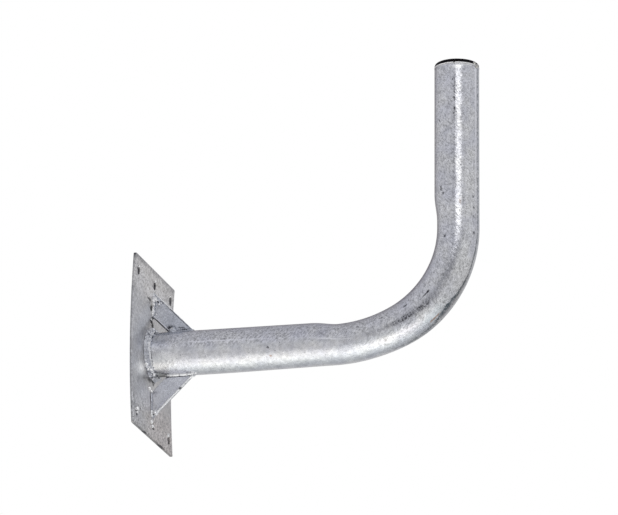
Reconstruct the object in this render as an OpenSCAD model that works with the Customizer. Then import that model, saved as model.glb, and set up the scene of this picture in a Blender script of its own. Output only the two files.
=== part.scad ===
// L-shaped wall bracket for a mast.
// A bent round tube is butt-welded to the middle of a flat wall plate and stiffened by two flat bars.
// The tube's upper end is closed by a plastic plug.
// The origin is the centre of the plate's wall face. +X points away from the wall, +Z up the mast.

/* [Tube] */
// Outside diameter of the tube
tube_od = 50; // [42:1:60]
// Wall thickness of the tube
tube_wall = 2; // [1.5:0.1:3]
// Distance from the wall face to the axis of the upright
arm_reach = 353; // [320:1:450]
// Height of the tube's open end above the axis of the arm
mast_height = 311; // [240:1:450]

/* [Bend] */
// Centreline radius where the bend starts, on the arm's side
start_radius = 164; // [130:1:190]
// Angle that the tube turns at that radius, in degrees
start_turn = 27; // [10:1:45]
// Centreline radius of the rest of the bend
main_radius = 120; // [100:1:140]
// Depth to which the press flattens the inside of the bend
press_depth = 3.1; // [0.5:0.1:5]
// Angle from the inside of the bend to the edge that the press leaves on each flank
press_edge = 69; // [55:1:80]
// Length over which the pressed face runs out into the round tube
press_runout = 30; // [15:1:40]
// Distance that the pressed face reaches along the arm, before the bend
press_reach_arm = 23; // [10:1:40]
// Distance that the pressed face reaches up the upright, past the bend
press_reach_mast = 38; // [32:1:50]
// Depth to which the outside of the bend is flattened
heel_depth = 2; // [0:0.1:4]
// Length of the arm over which that flattening comes in
heel_runin = 145; // [60:1:150]
// Distance past the start of the bend at which the heel is at its flattest
heel_peak = 36; // [10:1:60]
// Distance past the start of the bend at which the heel is round again
heel_end = 108; // [80:1:150]
// Share of the lost depth by which the flanks spread
flank_spread = 0.25; // [0:0.05:0.5]

/* [Wall plate] */
// Width of the plate
plate_w = 160; // [120:1:220]
// Height of the plate
plate_h = 195; // [190:1:260]
// Thickness of the plate
plate_t = 3.2; // [2:0.1:8]
// Radius of the plate's corners
plate_corner = 1.5; // [0.5:0.1:10]
// Diameter of the six bolt holes
bolt_hole = 10.5; // [7:0.5:13]
// Width between the outer columns of bolt holes
bolt_span_w = 132; // [100:1:140]
// Height between the two rows of bolt holes
bolt_span_h = 162; // [162:1:176]
// Diameter of the vent hole inside the tube, which lets the zinc bath in and out
vent_hole = 8; // [6:0.5:20]

/* [Gussets] */
// Length that each gusset spans along the plate and along the tube
gusset_leg = 49; // [35:1:49]
// Width of the flat bar that the gussets are cut from
bar_w = 21; // [12:1:22]
// Thickness of that bar
bar_t = 6; // [4:0.5:10]

/* [Welds] */
// Leg of the tube's weld on the tube
root_leg_tube = 6; // [3:0.5:8]
// Leg of the tube's weld on the plate, above and below the tube
root_leg_plate = 5; // [3:0.5:8]
// Leg of the tube's weld on the plate, beside the tube
root_leg_side = 10; // [3:0.5:12]
// Leg of the gusset welds
bead_leg = 4.5; // [2:0.5:6]
// Distance between the ripples of a weld
ripple_pitch = 4; // [2.5:0.5:8]
// Height of the ripples, as a share of the weld's leg
ripple_height = 0.12; // [0:0.01:0.2]

/* [End plug] */
// Height of the plug's head above the tube's end
plug_head = 5; // [3:0.5:10]
// Radius of the rounded edge of the head
plug_edge = 3.5; // [1:0.5:4]
// Length of the stem inside the tube
plug_stem = 24; // [12:1:40]
// Wall thickness of the stem
plug_wall = 2; // [1:0.5:4]
// Number of sealing fins round the stem
plug_fins = 4; // [2:1:6]
// Thickness of a fin at its root
fin_t = 2; // [1:0.5:3]
// Clearance between the plug's fins and the tube's bore
plug_gap = 0.1; // [0.05:0.05:0.5]
// Gap between the stem and the bore, which the fins bridge
fin_reach = 2; // [1:0.5:3]

/* [Hidden] */
$fn = 96;

zinc = [0.66, 0.67, 0.69];
weld_zinc = [0.78, 0.79, 0.80];
black_plastic = [0.05, 0.05, 0.05];

tube_r = tube_od / 2;
bore_r = tube_r - tube_wall;

// The bend: a wide arc, then a tighter one, which together turn the tube from the arm to the upright
start_len = start_radius * start_turn * PI / 180;
bend_len = start_len + main_radius * (90 - start_turn) * PI / 180;
bend_x = arm_reach - main_radius - (start_radius - main_radius) * sin(start_turn);
bend_top = start_radius * (1 - cos(start_turn)) + main_radius * cos(start_turn);
loft_start = -heel_runin;
loft_end = bend_len + press_reach_mast;
arm_round_end = bend_x + loft_start;
mast_round_start = bend_top + press_reach_mast;

// Resolution of the formed stretch of the tube
edge_steps = 16;
back_steps = 26;
runin_steps = 7;
runout_steps = 6;
bend_steps = 21;
// The ends of the formed stretch lap into the walls of the straight tubes
lap = 1;
lap_inset = 0.12;
// Cutters run this far past the faces that they cut
overrun = 1;

// Smooth step from 0 to 1 between a and b
function ease(x, a, b) =
    let (t = min(1, max(0, (x - a) / (b - a))))
    t * t * (3 - 2 * t);

// Direction of the tube at the distance s past the start of the bend, in degrees from +X
function turn_at(s) =
    s <= 0 ? 0 :
    s < start_len ? s / start_radius * 180 / PI :
    s < bend_len ? start_turn + (s - start_len) / main_radius * 180 / PI :
    90;

// Point of the tube's axis at the distance s past the start of the bend
function axis_at(s) =
    let (a = turn_at(s))
    s <= 0 ? [bend_x + s, 0, 0] :
    s < start_len ? [bend_x + start_radius * sin(a), 0, start_radius * (1 - cos(a))] :
    s < bend_len ? [arm_reach - main_radius * (1 - sin(a)), 0, bend_top - main_radius * cos(a)] :
    [arm_reach, 0, bend_top + s - bend_len];

// Depth of the pressed inside, and of the flattened heel, at the distance s
function press_at(s) =
    press_depth * (ease(s, -press_reach_arm, press_runout - press_reach_arm)
        - ease(s, loft_end - press_runout, loft_end));
function heel_at(s) =
    heel_depth * (ease(s, loft_start, heel_peak) - ease(s, heel_peak, heel_end));

// Radius of the section at the angle a from the inside of the bend.
// Between its two edges the press leaves an arc that is flatter than the tube.
function section_radius(a, r, press, heel) =
    let (
        rise = r - press - r * cos(press_edge),
        half_w = r * sin(press_edge),
        die_r = (rise * rise + half_w * half_w) / (2 * rise),
        die_z = r - press - die_r
    )
    abs(a) <= press_edge
        ? die_z * cos(a) + sqrt(die_r * die_r - pow(die_z * sin(a), 2))
        : r - heel * pow(min(0, cos(a)), 2);

// Point of the wall at the angle a and the distance s, on a skin whose round radius is r
function wall_point(a, s, r) =
    let (
        press = press_at(s),
        heel = heel_at(s),
        q = section_radius(a, r, press, heel),
        spread = 1 + flank_spread * (press + heel) / tube_od,
        turn = turn_at(s)
    )
    axis_at(s) + [-sin(turn) * q * cos(a), q * sin(a) * spread, cos(turn) * q * cos(a)];

function steps(a, b, n) = [for (i = [0 : n - 1]) a + (b - a) * i / n];

section_angles = concat(
    steps(-press_edge, press_edge, edge_steps),
    steps(press_edge, 360 - press_edge, back_steps)
);
stations = concat(
    [loft_start - lap],
    steps(loft_start, -press_reach_arm, runin_steps),
    steps(-press_reach_arm, press_runout - press_reach_arm, runout_steps),
    steps(press_runout - press_reach_arm, loft_end - press_runout, bend_steps),
    steps(loft_end - press_runout, loft_end, runout_steps),
    [loft_end, loft_end + lap]
);
last = len(stations) - 1;

// Solid through rings of equally many points. It is capped at both ends, or closed on itself.
module loft(rings, closed = false) {
    n = len(rings);
    m = len(rings[0]);
    spans = closed ? n : n - 1;
    points = [for (ring = rings) each ring];
    sides = [
        for (i = [0 : spans - 1], j = [0 : m - 1])
            let (
                a = i * m + j,
                b = i * m + (j + 1) % m,
                c = (i + 1) % n * m + (j + 1) % m,
                d = (i + 1) % n * m + j
            )
            each [[a, b, c], [a, c, d]]
    ];
    caps = closed ? [] : [
        [for (j = [m - 1 : -1 : 0]) j],
        [for (j = [0 : m - 1]) (n - 1) * m + j]
    ];
    polyhedron(points, concat(sides, caps), convexity = 8);
}

// The formed stretch of the tube: each ring runs along the bore and back along the outer skin
module formed_wall() {
    rings = [
        for (a = section_angles)
            concat(
                [for (i = [0 : last]) wall_point(a, stations[i], bore_r + inset_at(i))],
                [for (i = [last : -1 : 0]) wall_point(a, stations[i], tube_r - inset_at(i))]
            )
    ];
    loft(rings, closed = true);
}

function inset_at(i) = i < 2 || i > last - 2 ? lap_inset : 0;

module straight_tube(length) {
    difference() {
        cylinder(r = tube_r, h = length);
        translate([0, 0, -overrun]) cylinder(r = bore_r, h = length + 2 * overrun);
    }
}

module bent_tube() {
    color(zinc) {
        translate([plate_t, 0, 0]) rotate([0, 90, 0]) straight_tube(arm_round_end - plate_t);
        formed_wall();
        translate([arm_reach, 0, mast_round_start]) straight_tube(mast_height - mast_round_start);
    }
}

module base_plate() {
    color(zinc)
        rotate([90, 0, 90])
            linear_extrude(plate_t)
                difference() {
                    plate_outline();
                    for (y = [-1 : 1], z = [-1, 1])
                        translate([y * bolt_span_w / 2, z * bolt_span_h / 2]) circle(d = bolt_hole);
                    circle(d = vent_hole);
                }
}

module plate_outline() {
    square([plate_w - 2 * plate_corner, plate_h], center = true);
    square([plate_w, plate_h - 2 * plate_corner], center = true);
    for (y = [-1, 1], z = [-1, 1])
        translate([y * (plate_w / 2 - plate_corner), z * (plate_h / 2 - plate_corner)])
            circle(r = plate_corner);
}

// A gusset's outer and inner corners lie this far from the corner between the plate and the tube
gusset_inner = gusset_leg - bar_w * sqrt(2);
// Height of the tube's surface under the faces of the bar
bar_seat = sqrt(tube_r * tube_r - bar_t * bar_t / 4);

// Flat bar with both ends cut at 45 degrees, and the lower one hollowed to sit on the tube
module gusset_bar() {
    difference() {
        translate([plate_t, bar_t / 2, tube_r])
            rotate([90, 0, 0])
                linear_extrude(bar_t)
                    polygon([
                        [0, gusset_inner],
                        [0, gusset_leg],
                        [gusset_leg, 0],
                        [gusset_leg, bar_seat - tube_r],
                        [gusset_inner, bar_seat - tube_r],
                        [gusset_inner, 0]
                    ]);
        rotate([0, 90, 0]) cylinder(r = tube_r, h = plate_t + gusset_leg + overrun);
    }
}

module gusset_upper() {
    color(zinc) gusset_bar();
}

module gusset_lower() {
    color(zinc) mirror([0, 0, 1]) gusset_bar();
}

// Swelling of a weld at the distance s along it
function ripple_at(s) = 1 + ripple_height * cos(360 * s / ripple_pitch);

// Section of a fillet weld: the corner that it fills, and a crowned face between its two toes.
// The crown bulges past the line between the toes by a quarter of its distance from the corner.
crown_bulge = 0.5;
face_steps = 4;

function fillet(corner, toe_a, toe_b) =
    let (
        middle = (toe_a + toe_b) / 2,
        crown = middle + crown_bulge * (middle - corner)
    )
    concat(
        [corner],
        [
            for (i = [0 : face_steps])
                let (t = i / face_steps)
                (1 - t) * (1 - t) * toe_a + 2 * t * (1 - t) * crown + t * t * toe_b
        ]
    );

// Ring of weld round the tube's foot. It is widest on the plate beside the tube.
root_steps = 90;
root_seat = tube_r / cos(180 / root_steps);
root_ripples = round(2 * PI * tube_r / ripple_pitch);

module weld_tube_root() {
    rings = [
        for (i = [0 : root_steps - 1])
            let (
                a = 360 * i / root_steps,
                swell = 1 + ripple_height * cos(root_ripples * a),
                plate_leg = root_leg_plate + (root_leg_side - root_leg_plate) * pow(sin(a), 2)
            )
            [
                for (p = fillet(
                    [plate_t, root_seat],
                    [plate_t + root_leg_tube * swell, root_seat],
                    [plate_t, root_seat + plate_leg * swell]
                ))
                    [p[0], p[1] * sin(a), p[1] * cos(a)]
            ]
    ];
    color(weld_zinc) loft(rings, closed = true);
}

// Straight welds run along both faces of a gusset. Their ends are rounded.
bead_steps = 24;
bead_end = 1.5;
bead_from = gusset_inner - bead_end;
bead_run = gusset_leg + bead_end - bead_from;
// A bead keeps its full size along its middle, and drops to this share of it at its ends
bead_tip = 0.2;
bead_fullness = 6;
// The welds on the tube touch its round surface without cutting into it
bead_clearance = 0.03;
bead_seat = tube_r + bead_clearance;

function bead_leg_at(t) =
    bead_leg * ripple_at(t * bead_run) * max(bead_tip, sqrt(1 - pow(2 * t - 1, bead_fullness)));

function seat_point(y) = [y, sqrt(bead_seat * bead_seat - y * y)];

// Weld between a gusset and the plate, on the side of +Y
module plate_bead() {
    rings = [
        for (i = [0 : bead_steps])
            let (
                t = i / bead_steps,
                leg = bead_leg_at(t),
                z = tube_r + bead_from + bead_run * t
            )
            [
                for (p = fillet(
                    [plate_t, bar_t / 2],
                    [plate_t + leg, bar_t / 2],
                    [plate_t, bar_t / 2 + leg]
                ))
                    [p[0], p[1], z]
            ]
    ];
    loft(rings);
}

// Weld between a gusset and the tube, on the side of +Y
module tube_bead() {
    rings = [
        for (i = [0 : bead_steps])
            let (
                t = i / bead_steps,
                leg = bead_leg_at(t),
                corner = seat_point(bar_t / 2),
                x = plate_t + bead_from + bead_run * t
            )
            [
                for (p = concat(
                    fillet(corner, corner + [0, leg], seat_point(bar_t / 2 + leg)),
                    [seat_point(bar_t / 2 + leg / 2)]
                ))
                    [x, p[0], p[1]]
            ]
    ];
    loft(rings);
}

module both_sides() {
    children();
    mirror([0, 1, 0]) children();
}

module weld_upper_plate() {
    color(weld_zinc) both_sides() plate_bead();
}

module weld_upper_tube() {
    color(weld_zinc) both_sides() tube_bead();
}

module weld_lower_plate() {
    color(weld_zinc) mirror([0, 0, 1]) both_sides() plate_bead();
}

module weld_lower_tube() {
    color(weld_zinc) mirror([0, 0, 1]) both_sides() tube_bead();
}

// Plug with a round-edged head that sits on the tube's end and a hollow stem with sealing fins
stem_r = bore_r - plug_gap - fin_reach;
fin_pitch = plug_stem / (plug_fins + 1);
// A fin starts inside the stem's wall
fin_root = 0.5;

module end_plug() {
    color(black_plastic)
        translate([arm_reach, 0, mast_height])
            rotate_extrude() {
                square([tube_r - plug_edge, plug_head]);
                square([tube_r, plug_head - plug_edge]);
                translate([tube_r - plug_edge, plug_head - plug_edge])
                    intersection() {
                        circle(r = plug_edge);
                        square(plug_edge);
                    }
                translate([stem_r - plug_wall, -plug_stem]) square([plug_wall, plug_stem + lap]);
                for (i = [1 : plug_fins])
                    translate([stem_r, -i * fin_pitch])
                        polygon([
                            [-fin_root, -fin_t / 2],
                            [0, -fin_t / 2],
                            [fin_reach, fin_t / 4],
                            [fin_reach, fin_t / 2],
                            [-fin_root, fin_t / 2]
                        ]);
            }
}

base_plate();
bent_tube();
gusset_upper();
gusset_lower();
end_plug();
weld_tube_root();
weld_upper_plate();
weld_upper_tube();
weld_lower_plate();
weld_lower_tube();
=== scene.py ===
import math

import bmesh
import bpy
from mathutils import Matrix, Vector, noise


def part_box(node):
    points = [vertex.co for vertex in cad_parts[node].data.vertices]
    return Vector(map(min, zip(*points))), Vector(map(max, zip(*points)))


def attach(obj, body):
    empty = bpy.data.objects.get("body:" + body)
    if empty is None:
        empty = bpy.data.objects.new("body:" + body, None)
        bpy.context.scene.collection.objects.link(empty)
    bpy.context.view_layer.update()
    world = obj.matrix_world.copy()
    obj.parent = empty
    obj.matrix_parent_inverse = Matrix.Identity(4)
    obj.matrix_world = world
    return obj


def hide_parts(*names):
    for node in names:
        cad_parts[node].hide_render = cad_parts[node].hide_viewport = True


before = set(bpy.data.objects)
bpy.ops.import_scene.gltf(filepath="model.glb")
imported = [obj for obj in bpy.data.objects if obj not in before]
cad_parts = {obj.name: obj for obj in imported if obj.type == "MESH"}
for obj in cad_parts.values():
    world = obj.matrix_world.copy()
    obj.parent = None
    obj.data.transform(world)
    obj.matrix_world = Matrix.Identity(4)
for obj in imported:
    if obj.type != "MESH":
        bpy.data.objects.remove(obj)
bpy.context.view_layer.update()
mm = 0.001
tiny = 1e-6  # places closer than this are the same
sharpAngle = math.radians(30)


# Helpers for meshes

def blend(x, low, high):  # 0 below low, 1 above high, smooth between
    t = min(1, max(0, (x - low) / (high - low)))
    return t * t * (3 - 2 * t)


def along(stops, x):  # value at x of a curve that eases through its stops
    if x <= stops[0][0]:
        return stops[0][1]
    for (a, first), (b, second) in zip(stops, stops[1:]):
        if x <= b:
            return first + (second - first) * blend(x, a, b)
    return stops[-1][1]


def lumps(place, size, seed=0):  # smooth noise between -1 and 1
    return noise.noise(place / size + Vector((seed, -seed, seed)))


def vertsOf(geom):
    return [g for g in geom if isinstance(g, bmesh.types.BMVert)]


def edgesOf(geom):
    return [g for g in geom if isinstance(g, bmesh.types.BMEdge)]


def tidyMesh(bm):  # doubles first, then normals
    bmesh.ops.remove_doubles(bm, verts=bm.verts, dist=tiny)
    bmesh.ops.recalc_face_normals(bm, faces=bm.faces)


def sharpEdges(bm):
    return [e for e in bm.edges if len(e.link_faces) == 2 and e.calc_face_angle() > sharpAngle]


def roundEdges(bm, edges, radius, segments):
    bmesh.ops.bevel(bm, geom=edges, offset=radius, offset_type="OFFSET", affect="EDGES",
                    segments=segments, profile=0.5, material=-1, clamp_overlap=True)


def spinRound(bm, geom, centre, axis, steps):
    bmesh.ops.spin(bm, geom=geom, cent=centre, axis=axis, angle=math.tau, steps=steps, use_merge=True)


def extendLoop(bm, loop, move, steps):  # the last edges, and all the verts made on the way
    made = []
    for _ in range(steps):
        new = bmesh.ops.extrude_edge_only(bm, edges=loop)["geom"]
        loop = edgesOf(new)
        made += vertsOf(new)
        bmesh.ops.translate(bm, verts=vertsOf(new), vec=move)
    return loop, made


def sweep(bm, verts, edges, way, length, steps):  # the swept verts, with both ends closed
    bm.faces.new(verts)
    loop, made = extendLoop(bm, edges, way * (length / steps), steps)
    bmesh.ops.contextual_create(bm, geom=loop)
    return list(verts) + made


blobForm = dict(
    turn=math.radians(18),  # about Z, towards the viewer
    lumpSize=0.0024, lumpHeight=0.3,
)


def addBlobs(bm, blobs, seed, freshAndHighlight, depth=1):
    # rounded lumps of zinc, painted white as fresh zinc and a painted highlight; places and radii in
    # millimetres; depth is their share away from the viewer
    form = blobForm
    shade = bm.verts.layers.float["shade"]
    shape = Matrix.Rotation(form["turn"], 4, "Z") @ Matrix.Diagonal((1, depth, 1, 1))
    for *place, radius in blobs:
        middle = Vector(place) * mm
        made = bmesh.ops.create_icosphere(bm, subdivisions=3, radius=radius * mm,
                                          matrix=Matrix.Translation(middle) @ shape)
        for v in made["verts"]:
            v.co += (v.co - middle) * form["lumpHeight"] * lumps(v.co, form["lumpSize"], seed)
            v[shade] = -freshAndHighlight


def newObject(name, bm):
    mesh = bpy.data.meshes.new(name)
    bm.to_mesh(mesh)
    bm.free()
    made = bpy.data.objects.new(name, mesh)
    bpy.context.scene.collection.objects.link(made)
    return made


def finishPiece(name, bm, material, nodes=()):
    piece = newObject(name, bm)
    piece.data.materials.append(material)
    piece.data.shade_smooth()
    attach(piece, "root")
    if nodes:
        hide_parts(*nodes)
    print("piece", name, len(piece.data.polygons), "faces")
    return piece


def keepSharp(piece, degrees):
    piece.data.set_sharp_from_angle(angle=math.radians(degrees))


# Helpers for shader nodes

def newMaterial(name):
    mat = bpy.data.materials.new(name)
    mat.use_nodes = True
    return mat


def add(mat, kind, inputs=None, **settings):  # inputs take a value or a socket
    made = mat.node_tree.nodes.new("ShaderNode" + kind)
    for key, value in settings.items():
        setattr(made, key, value)
    for key, value in (inputs or {}).items():
        if isinstance(value, bpy.types.NodeSocket):
            mat.node_tree.links.new(value, made.inputs[key])
        else:
            made.inputs[key].default_value = value
    return made


def noiseOn(mat, coords, size, detail=2, roughness=0.5, distortion=0):
    return add(mat, "TexNoise", {"Vector": coords, "Scale": 1 / size, "Detail": detail,
                                 "Roughness": roughness, "Distortion": distortion}).outputs["Fac"]


def remap(mat, value, fromLow, fromHigh, toLow=0, toHigh=1):
    return add(mat, "MapRange", {"Value": value, "From Min": fromLow, "From Max": fromHigh,
                                 "To Min": toLow, "To Max": toHigh}, clamp=True).outputs["Result"]


def around(mat, value, middle, spread):  # noise that varies evenly round a middle value
    return remap(mat, value, 0.3, 0.7, middle - spread, middle + spread)


def maths(mat, operation, a, b=0):
    return add(mat, "Math", {0: a, 1: b}, operation=operation).outputs[0]


def times(mat, a, b):
    return maths(mat, "MULTIPLY", a, b)


def plus(mat, a, b):
    return maths(mat, "ADD", a, b)


def minus(mat, a, b):
    return maths(mat, "SUBTRACT", a, b)


def vectorMaths(mat, operation, a, b):
    return add(mat, "VectorMath", {0: a, 1: b}, operation=operation).outputs[0]


def mixColour(mat, factor, a, b, blendType="MIX"):
    return add(mat, "Mix", {0: factor, 6: a, 7: b}, data_type="RGBA", blend_type=blendType).outputs[2]


def stretch(mat, coords, scale, turn=(0, 0, 0)):
    return add(mat, "Mapping", {"Vector": coords, "Scale": scale, "Rotation": turn},
               vector_type="TEXTURE").outputs["Vector"]


def attribute(mat, name, output="Fac"):
    return add(mat, "Attribute", attribute_name=name).outputs[output]


def bumpOn(mat, height, distance, strength=1, under=None):
    inputs = {"Height": height, "Distance": distance, "Strength": strength}
    if under:
        inputs["Normal"] = under
    return add(mat, "Bump", inputs).outputs["Normal"]


def shiny(mat):
    return mat.node_tree.nodes["Principled BSDF"]


def wire(mat, sockets):  # joins sockets to the inputs of the surface shader
    for name, socket in sockets.items():
        mat.node_tree.links.new(socket, shiny(mat).inputs[name])


# Sizes that the CAD part already has

plateLow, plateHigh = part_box("base_plate")
plugLow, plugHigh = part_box("end_plug")
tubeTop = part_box("bent_tube")[1].z
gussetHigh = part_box("gusset_upper")[1]
plateFront = plateHigh.x
tubeRadius = (plugHigh.x - plugLow.x) / 2
reach = (plugHigh.x + plugLow.x) / 2

plate = dict(
    bow=0.003,  # the welds have pulled the top and bottom edges forward
    corner=0.0015, edge=0.0005, levels=26,
    holeRadius=0.00525, holeY=0.066, holeZ=0.081,
    ventRadius=0.004, holeSides=48, drill=0.02,
    # how far the fine grain shows: everywhere, and what is added on the front at the top and the bottom
    grit=0.9,
    gritTop=0.9, gritBottom=1.4, gritFrom=0.045, gritTo=0.075,
    # painted shade inside the holes and on the sheared edges, and a darkening towards the bottom
    shadeUpperHoles=1.15, shadeLowerHoles=1, shadeHoleFade=0.6,
    shadeSheared=0.5, shadeSide=0.15, shadeNearCorner=0.95, shadeLow=0.07,
    # how far each of them reaches
    holeBand=0.0001, edgeBand=0.0002, topBand=0.0006, cornerBand=0.006, backBand=0.001, lowBand=0.08,
    blobDepth=0.45,
)
holeColumns = (-plate["holeY"], 0, plate["holeY"])


def bowAt(z):
    return plate["bow"] * (z / plateHigh.z) ** 2


# Zinc finishes

def grey(level):
    return (level, level, level, 1)


black = grey(0.01)
white = grey(0.97)
dark = (0.035, 0.035, 0.045, 1)
rust = (0.36, 0.19, 0.1, 1)


def mark(place, size, tint=dark, depth=0.85, **more):  # place and size in millimetres
    return dict(at=Vector(place) * mm, size=Vector(size) * mm, tint=tint, depth=depth, **more)


zinc = dict(
    cloudSpan=(0.38, 0.62),
    curlWidth=0.035,
    curlSpan=(0.42, 0.58),
    fleckWidth=0.05, fleckRough=0.25,
    # what the freshest zinc shows of the white (fresh zinc and a painted highlight), of smoothness and
    # of plain reflection
    freshAndHighlightWhite=0.9, freshSmooth=0.6, freshPlain=0.5,
    markRag=0.0012,
    markFade=(0.75, 1.25), markRough=0.15,
)


def makeZinc(name, look):
    z = zinc
    mat = newMaterial(name)
    if "attribute" in look:
        coords = attribute(mat, look["attribute"], "Vector")
    else:
        coords = add(mat, "TexCoord").outputs["Object"]
    clouds = noiseOn(mat, coords, look["cloudSize"], 4, 0.6)
    grain = noiseOn(mat, coords, look["grainSize"], 4, 0.6, 0.6)
    drawn = stretch(mat, coords, look.get("fineStretch", (1, 1, 1)), look.get("fineTurn", (0, 0, 0)))
    fine = noiseOn(mat, drawn, look["fineSize"], 3, 0.7)
    curls = noiseOn(mat, coords, look["curlSize"], 1, 0.5, 2)

    colour = mixColour(mat, remap(mat, clouds, *z["cloudSpan"]), look["dull"], look["pale"])
    colour = mixColour(mat, 1, colour, around(mat, grain, 1, look["grainDepth"]), "MULTIPLY")
    shade = around(mat, fine, 1, look["fineDepth"])
    grit = 1.0
    if "grit" in look:  # how far the fine grain shows from place to place
        grit = attribute(mat, look["grit"])
        shade = plus(mat, 1, times(mat, minus(mat, shade, 1), grit))
    colour = mixColour(mat, 1, colour, shade, "MULTIPLY")
    # stains that dried as thin curled lines
    line = maths(mat, "ABSOLUTE", minus(mat, curls, 0.5))
    line = times(mat, remap(mat, line, 0, z["curlWidth"], 1, 0), remap(mat, clouds, *z["curlSpan"]))
    line = times(mat, line, times(mat, grit, look["curlDepth"]))
    colour = mixColour(mat, 1, colour, minus(mat, 1, line), "MULTIPLY")
    fleckTo = look["fleckFrom"] + z["fleckWidth"]
    flecks = remap(mat, fine, look["fleckFrom"], fleckTo, 0, look["fleckDepth"])
    colour = mixColour(mat, flecks, colour, look["fleck"])
    for tone in look.get("tones", ()):
        colour = addMark(mat, coords, colour, 0, blendType="MULTIPLY", **tone)[0]

    rough = around(mat, grain, look["rough"], -look["roughSpread"])
    rough = plus(mat, rough, times(mat, flecks, z["fleckRough"]))
    if "paintedShadeDepth" in look:
        # the shade attribute: towards 1 dark hollows and edges, a painted shade, towards -1 white, fresh
        # zinc with a painted highlight
        shade = attribute(mat, "shade")
        whiteAndHighlight = remap(mat, shade, 0, -1, 0, z["freshAndHighlightWhite"])
        colour = mixColour(mat, remap(mat, shade, 0, 1, 0, look["paintedShadeDepth"]), colour, dark)
        colour = mixColour(mat, whiteAndHighlight, colour, white)
        rough = times(mat, rough, minus(mat, 1, times(mat, whiteAndHighlight, z["freshSmooth"])))
        metal = minus(mat, 1, times(mat, whiteAndHighlight, z["freshPlain"]))
    if "rubAndReflection" in look:
        colour, rough = addRubAndReflection(mat, coords, colour, rough, look["rubAndReflection"])
    for spot in look.get("marks", ()):
        colour, rough = addMark(mat, coords, colour, rough, **spot)

    normal = bumpOn(mat, clouds, look["swell"])
    normal = bumpOn(mat, grain, look["bump"], under=normal)
    normal = bumpOn(mat, fine, look["fineBump"], grit, normal)
    wire(mat, {"Base Color": colour, "Roughness": rough, "Normal": normal})
    shiny(mat).inputs["Metallic"].default_value = 1.0
    if "paintedShadeDepth" in look:
        wire(mat, {"Metallic": metal})
    return mat


def addMark(mat, coords, colour, rough, at, size, tint, depth, edge=0.5, turn=0, blendType="MIX"):
    # a speck, nick or stain round one point, with a ragged outline
    away = vectorMaths(mat, "SUBTRACT", coords, at)
    if turn:
        away = add(mat, "VectorRotate", {"Vector": away, "Angle": turn},
                   rotation_type="Y_AXIS").outputs[0]
    away = vectorMaths(mat, "MULTIPLY", away, [1 / s for s in size])
    far = add(mat, "VectorMath", {0: away}, operation="LENGTH").outputs["Value"]
    ragged = plus(mat, far, around(mat, noiseOn(mat, coords, zinc["markRag"], 2), 0, edge))
    here = remap(mat, ragged, *zinc["markFade"], depth, 0)
    colour = mixColour(mat, here, colour, tint, blendType)
    return colour, plus(mat, rough, times(mat, here, zinc["markRough"]))


def addRubAndReflection(mat, coords, colour, rough, look):
    # the dark broken band where the bending tool has rubbed the flank, with a painted dark reflection
    # along it and fine ticks across it
    rubAndReflection = attribute(mat, "rubAndReflection")
    ticks = noiseOn(mat, stretch(mat, coords, look["tickStretch"]), look["size"], 4, 0.75, 0.5)
    spots = noiseOn(mat, coords, look["spotSize"], 3, 0.7, 0.8)
    here = times(mat, rubAndReflection, remap(mat, ticks, *look["tickSpan"], 1, 0))
    colour = mixColour(mat, here, colour, look["tint"])
    spotted = remap(mat, spots, *look["spotSpan"], 1, 0)
    patch = times(mat, remap(mat, rubAndReflection, *look["patchSpan"]), spotted)
    patch = times(mat, patch, remap(mat, ticks, *look["patchTicks"]))
    colour = mixColour(mat, patch, colour, look["patch"])
    # this attribute: towards 1 a painted dark reflection in a line by the heel, towards -1 the pale mill
    # line and seam
    line = attribute(mat, "reflectionAndSeam")
    ragged = plus(mat, line, remap(mat, spots, *look["reflectionRag"]))
    reflectionAndSeam = times(mat, remap(mat, ragged, 0.1, 0.9), remap(mat, line, 0, 0.3))
    colour = mixColour(mat, reflectionAndSeam, colour, look["reflectionAndSeam"])
    colour = mixColour(mat, remap(mat, line, 0, -1, 0, look["paleDepth"]), colour, look["paleLine"])
    return colour, plus(mat, rough, times(mat, here, look["rough"]))


# Tube: one circle swept along the arm, round the bend and up the mast, then pressed into shape

tube = dict(
    radius=tubeRadius,
    wall=0.002, sides=180,
    startRadius=0.164, startTurn=math.radians(27), mainRadius=0.12,
    pressDepth=0.0031, pressEdge=math.radians(69), pressRunout=0.03,
    pressReachArm=0.023, pressReachMast=0.038,
    heelDepth=0.002, heelRunin=0.145, heelPeak=0.036, heelEnd=0.108,
    flankSpread=0.25,
    armSteps=46, startSteps=20, mainSteps=34, mastSteps=40,
    # how far the fine grain shows
    gritArm=1.2, gritUnderArm=0.35, gritBend=1,
    gritTurn=(math.radians(80), math.radians(96)),
    gritBlend=0.09,
    roll=0.0007,  # zinc gathered round the upper edge, painted white as a highlight along the rim
    rollInside=0.6,  # how far its middle lies inside the edge, in radii
    rollSides=12, rollSteps=160,
    rollLump=0.0002, rollLumpSize=0.004, rollHighlight=0.9,
    drips=((375.2, -10.5, 312.8, 2), (377, -6, 310.5, 2.3)),
)
startRadius, startTurn, mainRadius = tube["startRadius"], tube["startTurn"], tube["mainRadius"]
startLength = startRadius * startTurn
bendLength = startLength + mainRadius * (math.pi / 2 - startTurn)
bendX = reach - mainRadius - (startRadius - mainRadius) * math.sin(startTurn)
bendTop = startRadius * (1 - math.cos(startTurn)) + mainRadius * math.cos(startTurn)
startCentre = Vector((bendX, 0, startRadius))
mainCentre = Vector((reach - mainRadius, 0, bendTop))


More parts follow.
